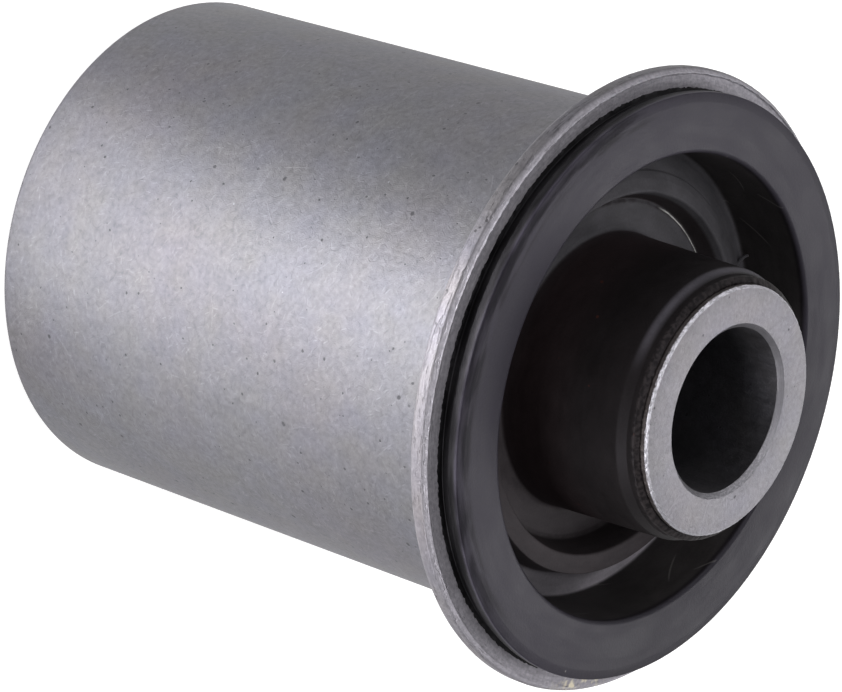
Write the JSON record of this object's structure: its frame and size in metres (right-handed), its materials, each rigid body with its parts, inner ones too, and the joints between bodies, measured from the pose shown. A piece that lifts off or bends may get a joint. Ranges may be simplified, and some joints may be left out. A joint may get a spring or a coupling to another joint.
{
  "type": "rubber metal bush",
  "caption": "Flanged rubber metal bush: a pressed steel sleeve bonded by a moulded rubber body to a thick steel tube that takes the clamping bolt.",
  "frame": {"origin": "centre of the inner sleeve's lower end face, on which the bush stands", "axes": "+Z along the bore, up towards the flange; the bush is round about Z, so X and Y are free"},
  "size_m": [0.0618, 0.0618, 0.0821],
  "materials": {
    "sleeve_steel": "matt phosphated grey",
    "moulded_rubber": "satin black",
    "tube_steel": "blasted grey"
  },
  "bodies": {
    "root": {"outer_sleeve": "sleeve_steel", "rubber_bush": "moulded_rubber", "inner_sleeve": "tube_steel"}
  },
  "joints": []
}
